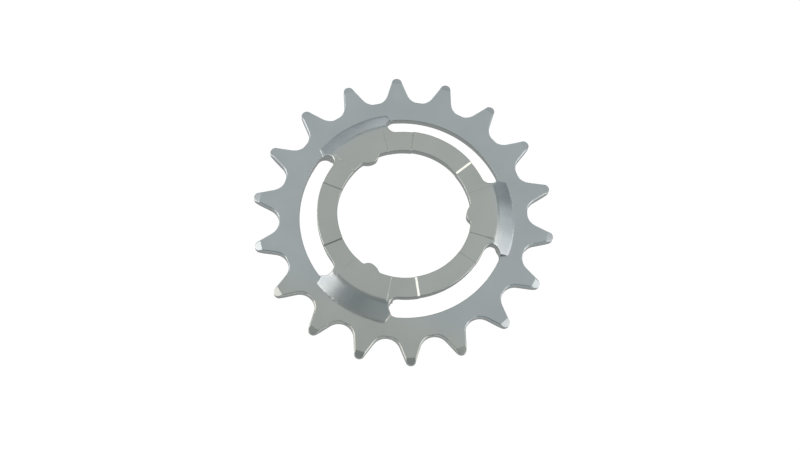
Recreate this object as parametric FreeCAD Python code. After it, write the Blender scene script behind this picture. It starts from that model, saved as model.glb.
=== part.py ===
import FreeCAD, Part
import math, os

# Rear sprocket of a geared bicycle hub, pressed from one piece of sheet steel.
# Millimetres, +Z up: it lies on its toothed ring, and the dished hub ring stands above it.
# The middle of one spoke points along +X, and angles are in degrees from there.

# Chain and teeth
chain_pitch = 12.7
roller_diameter = 7.75
tooth_count = 18
seat_relief = 0.04  # the seats are cut this much below the rollers
tooth_height = 3.08  # tips above the pitch circle
crown_round = 1.32
tooth_turn = -8.0  # from a spoke's middle to the tooth beside it
tip_bevel_length = 1.75
tip_bevel_angle = 16.0

# Sheet and dish
sheet = 2.3
rim_width = 3.65  # flat ring from the tooth seats to the dish's foot
dish_height = 3.2  # hub ring above toothed ring
dish_slope = 35.15
bend_lap = 1.68  # the slots end this far short of the dish's foot and crest
bend_outside = 2.4
bend_inside = 0.8

# Slots and spokes
spoke_count = 3
spoke_width = 16.9  # between the slots' round ends
end_wall_lead = 1.45  # a spoke's end wall leaves the slot's outer edge this far before the round end
end_wall_skew = 57.0  # and turns this far from the slot's edge
end_wall_slope = 76.0
dish_turn = -1.0  # the dished spokes sit this far round from the slots

# Bore and its drive lugs
bore_diameter = 35.0
lug_height = 1.27
lug_turn = -1.5  # the lug's crest from the spoke's middle
lug_drive_round = 2.0  # the side that drives is steep
lug_drive_blend = 0.8
lug_back_round = 4.0
lug_back_blend = 1.0

# Steps pressed into the hub ring
pad_half_angle = 17.75  # pads at the spokes
pad_step = 0.12
raised_half_angle = 22.8  # raised panels behind the slots
raised_step = 0.45
press_turn = 0.75  # the steps sit this far round from the slots
easy_slope = 42.0
steep_slope = 62.0

edge_break = 0.28  # on the upper face, where the blanking punch went in

# What follows from them
tooth_angle = 360 / tooth_count
spoke_angle = 360 / spoke_count
pitch_radius = chain_pitch / 2 / math.sin(math.radians(tooth_angle / 2))
seat_radius = roller_diameter / 2
root_radius = pitch_radius - seat_radius - seat_relief
tip_radius = pitch_radius + tooth_height
bore_radius = bore_diameter / 2
dish_outer_radius = root_radius - rim_width
dish_inner_radius = dish_outer_radius - dish_height / math.tan(math.radians(dish_slope))
slot_outer_radius = dish_outer_radius - bend_lap
hub_ring_radius = dish_inner_radius - bend_lap
slot_width = slot_outer_radius - hub_ring_radius
slot_middle_radius = hub_ring_radius + slot_width / 2
slot_end_angle = math.degrees(math.asin((spoke_width + slot_width) / 2 / slot_middle_radius))
end_wall_turn = slot_end_angle - math.degrees(end_wall_lead / slot_outer_radius) + end_wall_skew
hub_form_radius = hub_ring_radius + slot_width / 10  # the hub is pressed a little past the slots' edge
above_all = dish_height + 3 * sheet
inside_bore = 0.8 * bore_radius  # blocks are closed here, where the bore takes them away
panel_root = sheet / 4  # the raised panels grow from this deep in the hub ring


def at(radius, angle, z=0.0):
    turn = math.radians(angle)
    return FreeCAD.Vector(radius * math.cos(turn), radius * math.sin(turn), z)


def arc(start, middle, end):
    return Part.Arc(start, middle, end).toShape()


def face_of(edges):
    return Part.Face(Part.Wire(edges))


def closed(points):
    return Part.makePolygon(points + points[:1])


def flank_ends():
    # Where the straight flank touches the seat's circle and the crown's circle, seat on the x axis
    seat = at(root_radius + seat_radius, 0)
    crown = at(tip_radius - crown_round, tooth_angle / 2)
    apart = crown - seat
    lean = math.acos((seat_radius + crown_round) / apart.Length)
    normal = math.degrees(math.atan2(apart.y, apart.x) + lean)
    return seat + at(seat_radius, normal), crown - at(crown_round, normal)


def tooth_face():
    low, high = flank_ends()
    low_radius, low_turn = low.Length, math.degrees(math.atan2(low.y, low.x))
    high_radius, high_turn = high.Length, math.degrees(math.atan2(high.y, high.x))
    edges = []
    for tooth in range(tooth_count):
        seat = tooth_turn + (tooth - 0.5) * tooth_angle
        after = seat + tooth_angle
        seat_end = at(low_radius, seat + low_turn)
        crown_start = at(high_radius, seat + high_turn)
        crown_end = at(high_radius, after - high_turn)
        edges.append(arc(at(low_radius, seat - low_turn), at(root_radius, seat), seat_end))
        edges.append(Part.makeLine(seat_end, crown_start))
        edges.append(arc(crown_start, at(tip_radius, seat + tooth_angle / 2), crown_end))
        edges.append(Part.makeLine(crown_end, at(low_radius, after - low_turn)))
    return face_of(edges)


def toothed_plate():
    plate = tooth_face().extrude(FreeCAD.Vector(0, 0, sheet))
    rims = [edge for edge in plate.Edges if edge.BoundBox.ZMin > sheet / 2]
    plate = plate.makeChamfer(edge_break, rims)
    start = tip_radius - tip_bevel_length
    reach = 2 * tip_bevel_length
    drop = reach * math.tan(math.radians(tip_bevel_angle))
    bevel = Part.Face(closed([
        at(start, 0, sheet),
        at(start + reach, 0, sheet - drop),
        at(start + reach, 0, 2 * sheet),
        at(start, 0, 2 * sheet),
    ])).revolve(FreeCAD.Vector(), FreeCAD.Vector(0, 0, 1), 360)
    under_bevel = bevel.mirror(at(0, 0, sheet / 2), FreeCAD.Vector(0, 0, 1))
    return plate.cut(bevel).cut(under_bevel)


def bend(corner, before, after, radius):
    # The arc that rounds a corner of a profile, with the directions into and out of the corner
    half = before.getAngle(after) / 2
    tangent = radius * math.tan(half)
    inward = after - before
    inward.normalize()
    middle = corner + inward * (radius / math.cos(half) - radius)
    return corner - before * tangent, middle, corner + after * tangent


def dish(base, setback, crest_bend, foot_bend):
    # The dished form all round: hub level, bend, slope, bend, rim level
    level = at(1, 0)
    down = at(1, 0) * math.cos(math.radians(dish_slope)) - at(0, 0, 1) * math.sin(math.radians(dish_slope))
    crest = bend(at(dish_inner_radius - setback, 0, base + dish_height), level, down, crest_bend)
    foot = bend(at(dish_outer_radius - setback, 0, base), down, level, foot_bend)
    inner_top = at(inside_bore, 0, base + dish_height)
    rim = at(root_radius, 0, base)
    rim_low = at(root_radius, 0, base - sheet / 2)
    inner_low = at(inside_bore, 0, base - sheet / 2)
    profile = face_of([
        Part.makeLine(inner_top, crest[0]),
        arc(*crest),
        Part.makeLine(crest[2], foot[0]),
        arc(*foot),
        Part.makeLine(foot[2], rim),
        Part.makeLine(rim, rim_low),
        Part.makeLine(rim_low, inner_low),
        Part.makeLine(inner_low, inner_top),
    ])
    return profile.revolve(FreeCAD.Vector(), at(0, 0, 1), 360)


def spoke_room(base, setback):
    # The room of one spoke along +X, between its two end walls
    turn = math.radians(end_wall_turn)
    far = dish_outer_radius + bend_outside
    outlines = []
    for rise in (-sheet / 2, dish_height):
        reach = slot_outer_radius * math.cos(math.radians(end_wall_skew)) - setback
        reach -= rise / math.tan(math.radians(end_wall_slope))
        near_side = (reach - inside_bore * math.cos(turn)) / math.sin(turn)
        far_side = (reach - far * math.cos(turn)) / math.sin(turn)
        corners = [(inside_bore, near_side), (far, far_side), (far, -far_side), (inside_bore, -near_side)]
        outlines.append(closed([FreeCAD.Vector(x, y, base + rise) for x, y in corners]))
    return Part.makeLoft(outlines, True, True)


def dished_disc(base, dish_setback, wall_setback, crest_bend, foot_bend):
    # A disc at the toothed ring's level with the spokes and the hub raised from it
    disc = Part.makeCylinder(root_radius, sheet / 2, at(0, 0, base - sheet / 2))
    room = spoke_room(base, wall_setback)
    raised = dish(base, dish_setback, crest_bend, foot_bend).common(room)
    for spoke in range(spoke_count):
        turn = spoke * spoke_angle + dish_turn
        disc = disc.cut(room.rotated(at(0, 0), at(0, 0, 1), turn))
        disc = disc.fuse(raised.rotated(at(0, 0), at(0, 0, 1), turn))
    return disc.fuse(Part.makeCylinder(hub_form_radius, dish_height, at(0, 0, base)))


def sector_block(middle, half_angle, level, bottom, top, slopes, lean):
    # A block between two radial walls that pass through the given angles at the given level
    reach = slot_middle_radius / math.cos(math.radians(half_angle))
    first, last = middle - half_angle, middle + half_angle
    outlines = []
    for z in (bottom, top):
        runs = [lean * (z - level) / math.tan(math.radians(slope)) for slope in slopes]
        first_shift = at(runs[0], first + 90, z)
        last_shift = at(runs[1], last - 90, z)
        outlines.append(closed([
            at(inside_bore, first) + first_shift,
            at(reach, first) + first_shift,
            at(reach, last) + last_shift,
            at(inside_bore, last) + last_shift,
        ]))
    return Part.makeLoft(outlines, True, True)


def pressed_form(base, side):
    # The solid below the sheet's upper face, or below its under face, with all that is pressed into it
    upper = side == "upper"
    dish_setback = 0 if upper else sheet * math.tan(math.radians(dish_slope / 2))
    wall_setback = 0 if upper else sheet * math.tan(math.radians(end_wall_slope / 2))
    bends = (bend_outside, bend_inside) if upper else (bend_inside, bend_outside)
    form = dished_disc(base, dish_setback, wall_setback, *bends)
    hub = Part.makeCylinder(hub_form_radius, above_all, at(0, 0, base))
    low = base + dish_height - pad_step
    high = low + raised_step
    slopes = (easy_slope, steep_slope)
    for spoke in range(spoke_count):
        press = (spoke + 0.5) * spoke_angle + press_turn
        between = spoke_angle / 2 - pad_half_angle
        form = form.cut(sector_block(press, between, low, low, above_all, slopes[::-1], -1))
        panel = sector_block(press, raised_half_angle, low, low - panel_root, high, slopes, 1)
        form = form.fuse(panel.common(hub))
    return form


def through_cut(edges):
    outline = Part.Wire(Part.__sortEdges__(edges))
    return Part.Face(outline).extrude(at(0, 0, 2 * above_all)).translated(at(0, 0, -above_all))


def slot_cut(middle):
    reach = spoke_angle / 2 - slot_end_angle
    first, last = middle - reach, middle + reach
    edges = [
        arc(at(hub_ring_radius, first), at(hub_ring_radius, middle), at(hub_ring_radius, last)),
        arc(at(slot_outer_radius, first), at(slot_outer_radius, middle), at(slot_outer_radius, last)),
    ]
    for angle, way in ((first, -90), (last, 90)):
        outermost = at(slot_middle_radius, angle) + at(slot_width / 2, angle + way)
        edges.append(arc(at(hub_ring_radius, angle), outermost, at(slot_outer_radius, angle)))
    return through_cut(edges)


def lug_side(crest, tip_round, blend, way):
    # One side of a lug: its rounded crest, then the blend into the bore
    crest_radius = bore_radius - lug_height
    tip = at(crest_radius + tip_round, crest)
    arm = bore_radius - blend
    cosine = (tip.Length ** 2 + arm ** 2 - (tip_round + blend) ** 2) / (2 * tip.Length * arm)
    turn = crest + way * math.degrees(math.acos(cosine))
    centre = at(arm, turn)
    joint = centre + (tip - centre) * (blend / (tip_round + blend))
    foot = at(bore_radius, turn)

    def between(hub, radius, one, other):
        middle = (one + other) * 0.5 - hub
        middle.normalize()
        return arc(one, hub + middle * radius, other)

    crest_arc = between(tip, tip_round, at(crest_radius, crest), joint)
    blend_arc = between(centre, blend, joint, foot)
    return [crest_arc, blend_arc], turn


def bore_cut():
    edges = []
    feet = []
    for spoke in range(spoke_count):
        crest = spoke * spoke_angle + lug_turn
        drive, drive_foot = lug_side(crest, lug_drive_round, lug_drive_blend, -1)
        back, back_foot = lug_side(crest, lug_back_round, lug_back_blend, 1)
        edges += drive + back
        feet.append((drive_foot, back_foot))
    for spoke in range(spoke_count):
        start = feet[spoke][1]
        end = feet[(spoke + 1) % spoke_count][0]
        end += 360 if end < start else 0
        edges.append(arc(at(bore_radius, start), at(bore_radius, (start + end) / 2), at(bore_radius, end)))
    return through_cut(edges)


sprocket = toothed_plate().fuse(pressed_form(sheet, "upper")).cut(pressed_form(0, "under"))
for spoke in range(spoke_count):
    sprocket = sprocket.cut(slot_cut((spoke + 0.5) * spoke_angle))
sprocket = sprocket.cut(bore_cut()).removeSplitter()

os.makedirs("parts", exist_ok=True)
sprocket.exportStep("parts/sprocket.step")
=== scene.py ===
import math

import bpy
from mathutils import Matrix, Quaternion, Vector


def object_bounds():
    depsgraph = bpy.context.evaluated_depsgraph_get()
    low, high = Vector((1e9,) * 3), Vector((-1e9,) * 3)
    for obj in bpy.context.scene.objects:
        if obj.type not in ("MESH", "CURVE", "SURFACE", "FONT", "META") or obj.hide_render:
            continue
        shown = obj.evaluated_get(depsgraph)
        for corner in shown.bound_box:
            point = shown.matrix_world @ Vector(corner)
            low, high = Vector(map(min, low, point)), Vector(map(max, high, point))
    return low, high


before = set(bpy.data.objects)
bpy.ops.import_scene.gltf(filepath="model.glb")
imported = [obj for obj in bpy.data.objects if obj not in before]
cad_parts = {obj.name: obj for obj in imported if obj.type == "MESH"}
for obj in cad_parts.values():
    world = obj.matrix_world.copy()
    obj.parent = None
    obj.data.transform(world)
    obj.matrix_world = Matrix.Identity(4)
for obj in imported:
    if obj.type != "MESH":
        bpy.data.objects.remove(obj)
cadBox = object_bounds()
print("frame loaded:", ", ".join(sorted(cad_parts)))

mm = 0.001  # metres


def linear(hexColour):
    # sRGB hex to the linear values that shaders take
    parts = [int(hexColour[i:i + 2], 16) / 255 for i in (1, 3, 5)]
    return [c / 12.92 if c <= 0.04045 else ((c + 0.055) / 1.055) ** 2.4 for c in parts] + [1.0]


def addNode(tree, kind, settings=None, links=None):
    # settings: attributes by name, sockets by "in:name" or "in:number"
    # links: input socket -> (node, output)
    node = tree.nodes.new(kind)
    for key, value in (settings or {}).items():
        if key.startswith("in:"):
            socket = key[3:]
            node.inputs[int(socket) if socket.isdigit() else socket].default_value = value
        else:
            setattr(node, key, value)
    for socket, (source, output) in (links or {}).items():
        tree.links.new(source.outputs[output], node.inputs[socket])
    return node


def newMaterial(name):
    material = bpy.data.materials.new(name)
    material.use_nodes = True
    material.node_tree.nodes.clear()
    return material, material.node_tree


# Camera: the photograph's view, a little off the axis, with the sprocket turned in the frame
shot = {
    "azimuth": -10.08,
    "elevation": 71.29,
    "roll": 9.76,
    "distance": 400 * mm,
    "lens": 68.24,
    "sensor": 36,
    "shift": (-0.0042, -0.0066),
    "near": 10 * mm,
}


def direction(azimuth, elevation):
    a, e = math.radians(azimuth), math.radians(elevation)
    return Vector((math.sin(a) * math.cos(e), -math.cos(a) * math.cos(e), math.sin(e)))


def makeCamera():
    data = bpy.data.cameras.new("camera")
    data.lens = shot["lens"]
    data.sensor_width = shot["sensor"]
    data.shift_x, data.shift_y = shot["shift"]
    data.clip_start = shot["near"]
    camera = bpy.data.objects.new("camera", data)
    bpy.context.collection.objects.link(camera)
    back = direction(shot["azimuth"], shot["elevation"])
    right = Vector((0, 0, 1)).cross(back).normalized()
    up = back.cross(right)
    turn = math.radians(shot["roll"])
    tiltedRight = right * math.cos(turn) + up * math.sin(turn)
    tiltedUp = up * math.cos(turn) - right * math.sin(turn)
    axes = Matrix((tiltedRight, tiltedUp, back)).transposed().to_4x4()
    camera.matrix_world = Matrix.Translation(back * shot["distance"]) @ axes
    bpy.context.scene.camera = camera


makeCamera()
print("camera placed")

# Zinc plated sheet steel, stamped and barrel plated: satin, with a faint mottle from the passivation
zinc = {
    "hub": "#c5c7c0",
    "rim": "#c3c8c8",
    "fade": (23.5 * mm, 27.5 * mm),  # the hub's warmer tint gives way to the rim's between these radii
    "warmSide": (-0.309, -0.951, 0.0),  # but reaches the rim on this side
    "warmReach": (22 * mm, 29 * mm),
    "dish": "#b9bfc2",  # painted shade: the sloped faces get a darker, bluer copy of the zinc, away from the warm side
    "slopeLean": (0.98, 0.86),  # a face's upright share where the slope's painted shade begins and is full
    "mottle": 14 * mm,  # size of the cloudy patches
    "mottleTone": (0.95, 1.05),  # darkest and lightest patch
    "noiseSpan": (0.3, 0.7),  # most of the noise falls between these
    "cloud": 2.5 * mm,  # finer clouds that vary the gloss
    "grain": 0.4 * mm,  # plating grain, drawn coarser than it is so that it shows
    "grainDepth": 0.02 * mm,
    "grainStrength": 0.12,
    "roughness": 0.24,
    "roughnessSpread": 0.04,
    # the cut walls' darker colour is painted shade, and their roughness is the real sheared metal
    "cutEdgeShaded": "#858a88",
    "cutLean": (0.3, 0.1),  # a face's upright share where the cut edge's look begins and is full
    "cutRoughness": 0.5,
    "edgeRadius": 0.35 * mm,  # blanked edges are rolled over
    "hubRing": (20.9 * mm, 1.7 * mm, 2.3 * mm),  # rings: middle, half width, half width with its fade
    "hubRadius": 0.12 * mm,  # the steps pressed into the hub ring are sharper
    "crestRing": (25 * mm, 0.9 * mm, 1.5 * mm),
    "crestRadius": 0.9 * mm,  # the dish rolls over softly at its crest
    "footRing": (29.1 * mm, 0.8 * mm, 1.3 * mm),
    "footRadius": 0.7 * mm,  # and runs out softly at its foot
}


def onRing(tree, radius, ring, inside, outside):
    # One value on a ring of the part and another away from it
    middle, half, faded = ring
    off = addNode(tree, "ShaderNodeMath", {"operation": "SUBTRACT", "in:1": middle}, {0: (radius, "Value")})
    away = addNode(tree, "ShaderNodeMath", {"operation": "ABSOLUTE"}, {0: (off, "Value")})
    return addNode(tree, "ShaderNodeMapRange", {
        "in:From Min": half, "in:From Max": faded, "in:To Min": inside, "in:To Max": outside,
    }, {"Value": (away, "Value")})


def zincPlate():
    material, tree = newMaterial("zincPlatedSteel")
    place = addNode(tree, "ShaderNodeTexCoord")
    radius = addNode(tree, "ShaderNodeVectorMath", {"operation": "LENGTH"}, {0: (place, "Object")})
    facing = addNode(tree, "ShaderNodeSeparateXYZ", links={"Vector": (place, "Normal")})
    upright = addNode(tree, "ShaderNodeMath", {"operation": "ABSOLUTE"}, {0: (facing, "Z")})

    # Tints of the hub and the rim, and painted shade on the slope between them
    fadeStart, fadeEnd = zinc["fade"]
    warmStart, warmEnd = zinc["warmReach"]
    slopeStart, slopeEnd = zinc["slopeLean"]
    outward = addNode(tree, "ShaderNodeMapRange", {"in:From Min": fadeStart, "in:From Max": fadeEnd},
                      {"Value": (radius, "Value")})
    along = addNode(tree, "ShaderNodeVectorMath", {"operation": "DOT_PRODUCT", "in:1": zinc["warmSide"]},
                    {0: (place, "Object")})
    cold = addNode(tree, "ShaderNodeMapRange", {"in:From Min": warmEnd, "in:From Max": warmStart},
                   {"Value": (along, "Value")})
    rimShare = addNode(tree, "ShaderNodeMath", {"operation": "MULTIPLY"},
                       {0: (outward, "Result"), 1: (cold, "Result")})
    flat = addNode(tree, "ShaderNodeMix", {
        "data_type": "RGBA", "in:6": linear(zinc["hub"]), "in:7": linear(zinc["rim"]),
    }, {"Factor": (rimShare, "Value")})
    sloping = addNode(tree, "ShaderNodeMapRange", {"in:From Min": slopeStart, "in:From Max": slopeEnd},
                      {"Value": (upright, "Value")})
    # Painted shade: sloped faces away from the warm side take the darker, bluer slope colour
    slopeShadeShare = addNode(tree, "ShaderNodeMath", {"operation": "MULTIPLY"},
                    {0: (sloping, "Result"), 1: (rimShare, "Value")})
    tint = addNode(tree, "ShaderNodeMix", {"data_type": "RGBA", "in:7": linear(zinc["dish"])},
                   {"Factor": (slopeShadeShare, "Value"), 6: (flat, 2)})
    noiseLow, noiseHigh = zinc["noiseSpan"]
    darkest, lightest = zinc["mottleTone"]
    mottle = addNode(tree, "ShaderNodeTexNoise", {
        "in:Scale": 1 / zinc["mottle"], "in:Detail": 3.0, "in:Roughness": 0.55,
    }, {"Vector": (place, "Object")})
    patches = addNode(tree, "ShaderNodeMapRange", {
        "in:From Min": noiseLow, "in:From Max": noiseHigh, "in:To Min": darkest, "in:To Max": lightest,
    }, {"Value": (mottle, "Fac")})
    plating = addNode(tree, "ShaderNodeVectorMath", {"operation": "SCALE"},
                      {0: (tint, 2), "Scale": (patches, "Result")})

    # The sheared edges are rougher than the faces, and their darker colour is painted shade, standing in
    # for the shadowed floor they reflect
    cutStart, cutEnd = zinc["cutLean"]
    shearedAndShaded = addNode(tree, "ShaderNodeMapRange", {"in:From Min": cutStart, "in:From Max": cutEnd},
                      {"Value": (upright, "Value")})
    colour = addNode(tree, "ShaderNodeMix", {"data_type": "RGBA", "in:7": linear(zinc["cutEdgeShaded"])},
                     {"Factor": (shearedAndShaded, "Result"), 6: (plating, "Vector")})
    clouds = addNode(tree, "ShaderNodeTexNoise", {"in:Scale": 1 / zinc["cloud"], "in:Detail": 4.0},
                     {"Vector": (place, "Object")})
    gloss = addNode(tree, "ShaderNodeMapRange", {
        "in:To Min": zinc["roughness"] - zinc["roughnessSpread"],
        "in:To Max": zinc["roughness"] + zinc["roughnessSpread"],
    }, {"Value": (clouds, "Fac")})
    roughness = addNode(tree, "ShaderNodeMix", {"data_type": "FLOAT", "in:3": zinc["cutRoughness"]},
                        {"Factor": (shearedAndShaded, "Result"), 2: (gloss, "Result")})

    # Rolled edges, soft bends and a fine grain
    edge = onRing(tree, radius, zinc["hubRing"], zinc["hubRadius"], zinc["edgeRadius"])
    crest = onRing(tree, radius, zinc["crestRing"], zinc["crestRadius"], 0.0)
    foot = onRing(tree, radius, zinc["footRing"], zinc["footRadius"], 0.0)
    bends = addNode(tree, "ShaderNodeMath", {"operation": "MAXIMUM"},
                    {0: (crest, "Result"), 1: (foot, "Result")})
    rounding = addNode(tree, "ShaderNodeMath", {"operation": "MAXIMUM"},
                       {0: (edge, "Result"), 1: (bends, "Value")})
    rounded = addNode(tree, "ShaderNodeBevel", {"samples": 8}, {"Radius": (rounding, "Value")})
    grain = addNode(tree, "ShaderNodeTexNoise", {"in:Scale": 1 / zinc["grain"], "in:Detail": 2.0},
                    {"Vector": (place, "Object")})
    relief = addNode(tree, "ShaderNodeBump", {
        "in:Strength": zinc["grainStrength"], "in:Distance": zinc["grainDepth"],
    }, {"Height": (grain, "Fac"), "Normal": (rounded, "Normal")})
    metal = addNode(tree, "ShaderNodeBsdfPrincipled", {"in:Metallic": 1.0},
                    {"Base Color": (colour, 2), "Roughness": (roughness, 0), "Normal": (relief, "Normal")})
    addNode(tree, "ShaderNodeOutputMaterial", links={"Surface": (metal, "BSDF")})
    return material


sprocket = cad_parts["sprocket"]
sprocket.data.materials.clear()
sprocket.data.materials.append(zincPlate())
print("sprocket plated")

# White matte paper under the sprocket: it looks white and still takes a faint shadow
paper = {
    "colour": "#f4f4f4",
    "width": 6000 * mm,
    "glow": 1.08,  # with the matte share it comes to white
    "shadowShare": 0.08,
}


def makeFloor():
    half = paper["width"] / 2
    mesh = bpy.data.meshes.new("floor")
    corners = [(-half, -half, 0), (half, -half, 0), (half, half, 0), (-half, half, 0)]
    mesh.from_pydata(corners, [], [(0, 1, 2, 3)])
    floor = bpy.data.objects.new("floor", mesh)
    floor.location.z = cadBox[0][2]
    bpy.context.collection.objects.link(floor)
    material, tree = newMaterial("whitePaper")
    matte = addNode(tree, "ShaderNodeBsdfDiffuse", {"in:Color": linear(paper["colour"])})
    white = addNode(tree, "ShaderNodeEmission", {"in:Strength": paper["glow"]})
    ray = addNode(tree, "ShaderNodeLightPath")
    seen = addNode(tree, "ShaderNodeMath", {"operation": "ADD"},
                   {0: (ray, "Is Camera Ray"), 1: (ray, "Is Glossy Ray")})
    through = addNode(tree, "ShaderNodeMath", {"operation": "ADD", "use_clamp": True},
                      {0: (seen, "Value"), 1: (ray, "Is Transmission Ray")})
    share = addNode(tree, "ShaderNodeMath", {"operation": "MULTIPLY", "in:1": 1 - paper["shadowShare"]},
                    {0: (through, "Value")})
    blend = addNode(tree, "ShaderNodeMixShader",
                    links={0: (share, "Value"), 1: (matte, "BSDF"), 2: (white, "Emission")})
    addNode(tree, "ShaderNodeOutputMaterial", links={"Surface": (blend, "Shader")})
    mesh.materials.append(material)


makeFloor()
print("floor laid")

# Softboxes on both sides, a dimmer panel at the back, and a dark front where the camera stands
# Their turn is measured from the camera's azimuth, and their lengths are in metres
lights = {
    "leftBox": {"turn": -78.3, "elevation": 35.8, "roll": 45, "distance": 0.6,
                "size": (0.48, 0.55), "watts": 1.22, "colour": "#fffaf8"},
    "rightBox": {"turn": 79.5, "elevation": 37.3, "roll": -45, "distance": 0.6,
                 "size": (0.486, 0.588), "watts": 0.96, "colour": "#fffaf8"},
    "leftSill": {"turn": -86.5, "elevation": 14, "roll": 0, "distance": 0.6,
                 "size": (0.425, 0.26), "watts": 0.315, "colour": "#fffaf8"},
    "rightSill": {"turn": 84.5, "elevation": 14, "roll": 0, "distance": 0.6,
                  "size": (0.473, 0.26), "watts": 0.325, "colour": "#fffaf8"},
    "leftWing": {"turn": -130, "elevation": 14, "roll": 0, "distance": 0.6,
                 "size": (0.3, 0.26), "watts": 0.045, "colour": "#ffffff"},
    "rightWing": {"turn": 113.8, "elevation": 14, "roll": 0, "distance": 0.6,
                  "size": (0.187, 0.26), "watts": 0.073, "colour": "#ffffff"},
    "backPanel": {"turn": 184, "elevation": 60, "roll": 0, "distance": 0.7,
                  "size": (1.25, 0.66), "watts": 0.8, "colour": "#ffffff"},
    "backSill": {"turn": 180, "elevation": 21, "roll": 6, "distance": 0.7,
                 "size": (1.3, 0.3), "watts": 0.3, "colour": "#ffffff"},
    "frontFill": {"turn": 12, "elevation": 30, "roll": 0, "distance": 0.7,
                  "size": (0.6, 0.5), "watts": 0.12, "colour": "#ffffff"},
}
room = {"colour": "#e3edf2", "strength": 0.38}


def makeLights():
    for name, spec in lights.items():
        data = bpy.data.lights.new(name, "AREA")
        data.shape = "RECTANGLE"
        data.size, data.size_y = spec["size"]
        data.energy = spec["watts"]
        data.color = linear(spec["colour"])[:3]
        light = bpy.data.objects.new(name, data)
        towards = direction(shot["azimuth"] + spec["turn"], spec["elevation"])
        light.location = towards * spec["distance"]
        spin = Quaternion((0, 0, 1), math.radians(spec["roll"]))
        light.rotation_euler = (towards.to_track_quat("Z", "Y") @ spin).to_euler()
        light.visible_camera = False
        bpy.context.collection.objects.link(light)
    world = bpy.data.worlds.new("room")
    bpy.context.scene.world = world
    world.use_nodes = True
    world.node_tree.nodes.clear()
    air = addNode(world.node_tree, "ShaderNodeBackground",
                  {"in:Color": linear(room["colour"]), "in:Strength": room["strength"]})
    addNode(world.node_tree, "ShaderNodeOutputWorld", links={"Surface": (air, "Background")})


makeLights()
bpy.context.scene.view_settings.view_transform = "Standard"
print("lights set")
